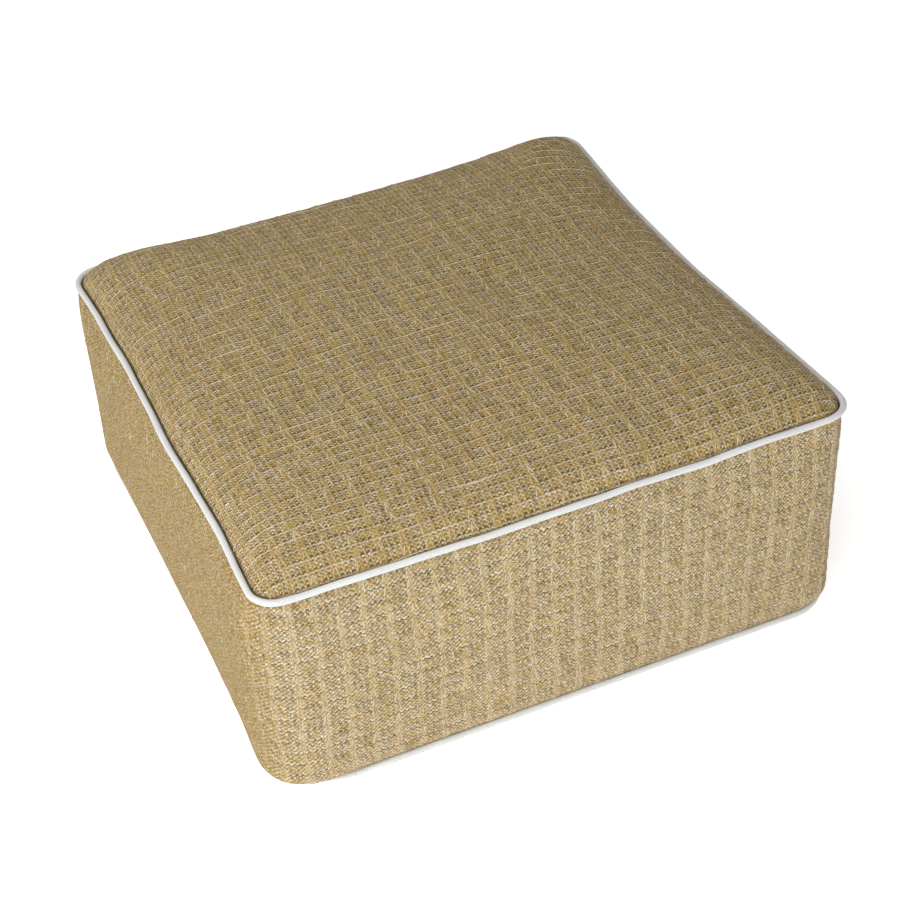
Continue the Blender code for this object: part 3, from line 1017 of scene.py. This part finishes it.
def make_strands(name, points, normals, width, height, lift):
    """Closed thin tubes along rows of points, arched up off the cloth and tapered into it."""
    count, steps = points.shape[:2]
    share = np.linspace(0.0, 1.0, steps)
    arch = np.sin(math.pi * share) ** ARCH_SHAPE
    taper = THIN_END + (1 - THIN_END) * arch
    tangent = np.gradient(points, axis=1)
    tangent /= np.linalg.norm(tangent, axis=2, keepdims=True)
    across = np.cross(tangent, normals)
    across /= np.linalg.norm(across, axis=2, keepdims=True)
    centre = points + normals * (arch * lift - (1 - arch) * height * END_SUNK)[None, :, None]
    rings = []
    for turn in np.arange(STRAND_SIDES) * (2 * math.pi / STRAND_SIDES):
        shift = across * (width * taper * math.cos(turn))[..., None]
        rings.append(centre + shift + normals * (height * taper * math.sin(turn))[None, :, None])
    verts = np.stack(rings, axis=2).reshape(-1, 3)
    ring = np.arange(STRAND_SIDES)
    first = (np.arange(count)[:, None, None] * steps + np.arange(steps - 1)[None, :, None]) * STRAND_SIDES
    near, beside = first + ring, first + (ring + 1) % STRAND_SIDES
    quads = np.stack([near, beside, beside + STRAND_SIDES, near + STRAND_SIDES], axis=-1).reshape(-1, 4)
    heads = np.arange(count)[:, None] * steps * STRAND_SIDES + ring[::-1]
    tails = heads + (steps - 1) * STRAND_SIDES
    faces = np.concatenate([quads, heads, tails[:, ::-1]])
    number = np.repeat(np.arange(count), steps * STRAND_SIDES)
    along = np.tile(np.repeat(share, STRAND_SIDES), count) * 0.98 + 0.01
    around_it = np.tile(ring / STRAND_SIDES, count * steps)
    loops = faces.ravel()
    cloth = np.stack([(number + along)[loops], around_it[loops]], axis=1)
    piece = new_piece(name, verts, faces.tolist(), cloth)
    piece.data.shade_smooth()
    return piece


def make_yarns(cover, length_round, depth):
    """All the floats and slub yarns, as one piece for each kind and panel."""
    random = np.random.default_rng(7)
    pieces = []
    for panel in ("top", "band"):
        surface = Surface(cover, panel)
        rib, line = checks(panel, length_round, depth, random)
        laid = {
            "float": lay_floats(panel, rib, line, random),
            "slub": lay_slubs(panel, rib, line, random),
        }
        for kind, places in laid.items():
            width, height, lift = STRANDS[kind]
            kept = random.random(len(places)) < SHOWN[kind][panel]
            points, normals, inside = surface.find(places[kept])
            on_left = (panel == "band") & (points[:, 0, 0] < LEFT_SIDE_X)
            whole = inside.all(axis=1) & ~(on_left & (random.random(len(points)) > LEFT_SHOWN))
            whole &= points[..., 2].min(axis=1) > FLOAT_FLOOR
            points, normals = points[whole], normals[whole]
            widths = width * random.uniform(STRAND_THINNER, STRAND_THICKER, (len(points), 1))
            strands = make_strands(f"{kind}_{panel}", points, normals, widths, height, lift)
            pieces.append((kind, panel, strands))
    return pieces


# ---- welts


WELT_SIDES = 20
WELT_SWELL, WELT_RIPPLE = 0.035, 0.02  # how uneven it is along, and round


def make_welt(name, seam):
    """A round welt along a seam, closed into one loop, a little uneven as sewn piping is."""
    side, t = stations()
    centre, outward = seam(side, t)
    length = lengths_round(centre)
    turns = np.linspace(0, 2 * math.pi, WELT_SIDES, endpoint=False)
    s = length[:-1, None]
    uneven = WELT_SWELL * np.sin(s * 61 + 1.7 * np.sin(s * 23)) + WELT_RIPPLE * np.sin(s * 160 + turns)
    radius = WELT_RADIUS * (1 + uneven)
    across = np.concatenate([outward, np.zeros((len(t), 1))], axis=1)
    points = centre[:, None, :] + across[:, None, :] * (radius * np.cos(turns))[..., None]
    points[..., 2] += radius * np.sin(turns)
    points = points.reshape(-1, 3) + SHIFT
    faces, cloth = [], []
    girth = 2 * math.pi * WELT_RADIUS / WELT_SIDES
    for i, k in np.ndindex(len(t), WELT_SIDES):
        cells = (i, k), (i + 1, k), (i + 1, k + 1), (i, k + 1)
        faces.append([ring % len(t) * WELT_SIDES + side % WELT_SIDES for ring, side in cells])
        cloth.extend((length[ring], side * girth) for ring, side in cells)
    piece = new_piece(name, points, faces, np.array(cloth))
    subdivide(piece)
    return piece


# ---- studio

FLOOR_RADIUS = 6.0
FLOOR_RISE = 3.5
FLOOR_STEPS = 12
FLOOR_SIDES = 96
WORLD_STRENGTH = 0.05
LIGHT_AIM = Vector((0.0, 0.0, 0.15))
# Name, azimuth and elevation in degrees, distance, size, and power. Azimuth 0 is the front, -90 the left
LIGHTS = (
    ("key", -36, 40, 1.65, (0.95, 1.25), 15.7),
    ("fill", -115, 64, 2.35, (1.5, 1.5), 20.4),
)


def direction(azimuth, elevation):
    """Unit vector that points away from the pouf."""
    azimuth, elevation = math.radians(azimuth), math.radians(elevation)
    level = math.cos(elevation)
    return Vector((level * math.sin(azimuth), -level * math.cos(azimuth), math.sin(elevation)))


def area_light(name, azimuth, elevation, distance, size, power):
    """A soft light that the camera doesn't see."""
    offset = direction(azimuth, elevation) * distance
    light = bpy.data.lights.new(name, "AREA")
    light.shape = "RECTANGLE"
    light.size, light.size_y = size
    light.energy = power
    lamp = new_object(name, light)
    lamp.location = LIGHT_AIM + offset
    lamp.rotation_euler = offset.to_track_quat("Z", "Y").to_euler()
    lamp.visible_camera = False


def make_floor():
    """A round pale floor whose rim curves up into a backdrop."""
    mesh = bmesh.new()
    bmesh.ops.create_circle(mesh, cap_ends=True, segments=FLOOR_SIDES, radius=FLOOR_RADIUS)
    rim = [edge for edge in mesh.edges if edge.is_boundary]
    for step in range(1, FLOOR_STEPS + 1):
        angle = math.radians(90 * step / FLOOR_STEPS)
        radius = FLOOR_RADIUS + FLOOR_RISE * math.sin(angle)
        height = FLOOR_RISE * (1 - math.cos(angle))
        ring = bmesh.ops.extrude_edge_only(mesh, edges=rim)["geom"]
        for vertex in (item for item in ring if isinstance(item, bmesh.types.BMVert)):
            vertex.co = (vertex.co.xy.normalized() * radius).to_3d()
            vertex.co.z = height
        rim = [item for item in ring if isinstance(item, bmesh.types.BMEdge)]
    data = bpy.data.meshes.new("studio_floor")
    mesh.to_mesh(data)
    mesh.free()
    data.materials.append(floor_material())
    data.shade_smooth()
    new_object("studio_floor", data)


def make_studio():
    make_floor()
    world = bpy.data.worlds.new("studio")
    world.use_nodes = True
    back = world.node_tree.nodes["Background"]
    back.inputs["Color"].default_value = (1.0, 1.0, 1.0, 1.0)
    back.inputs["Strength"].default_value = WORLD_STRENGTH
    bpy.context.scene.world = world
    bpy.context.scene.view_settings.view_transform = "Standard"
    for light in LIGHTS:
        area_light(*light)


CAMERA_AZIMUTH = -21.91
CAMERA_ELEVATION = 38.53
CAMERA_ROLL = math.radians(-3.35)
CAMERA_DISTANCE = 1.840
CAMERA_TARGET = Vector((-0.0668, -0.1865, 0.2575))
CAMERA_LENS = 78.32


def make_camera():
    data = bpy.data.cameras.new("camera")
    data.lens = CAMERA_LENS
    data.sensor_width = 36.0
    camera = new_object("camera", data)
    back = direction(CAMERA_AZIMUTH, CAMERA_ELEVATION)
    right = (-back).cross(Vector((0, 0, 1))).normalized()
    up = right.cross(-back)
    rolled_right = right * math.cos(CAMERA_ROLL) + up * math.sin(CAMERA_ROLL)
    rolled_up = up * math.cos(CAMERA_ROLL) - right * math.sin(CAMERA_ROLL)
    turn = Matrix((rolled_right, rolled_up, back)).transposed().to_4x4()
    target = CAMERA_TARGET + Vector(SHIFT)
    camera.matrix_world = Matrix.Translation(target + back * CAMERA_DISTANCE) @ turn
    bpy.context.scene.camera = camera


# ---- putting it together


def main():
    cover, length_round, depth = make_cover()
    subdivide(cover)
    for panel in PANELS:
        cover.data.materials.append(weave_material(panel))
    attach(cover, "root")
    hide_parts("pouf_body")

    yarns = {
        "float": yarn_material("float_yarn", FLOAT_STRAW, FLOAT_PALE),
        "slub": yarn_material("slub_yarn", CREAM, SLUB_PALE),
    }
    for kind, panel, piece in make_yarns(cover, length_round, depth):
        piece.data.materials.append(yarns[kind])
        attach(piece, "root")

    cotton = welt_material()
    welts = ("welt_top", "piping_top", top_seam), ("welt_base", "piping_bottom", base_seam)
    for name, node, seam in welts:
        welt = make_welt(name, seam)
        welt.data.materials.append(cotton)
        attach(welt, "root")
        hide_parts(node)

    make_studio()
    make_camera()


main()
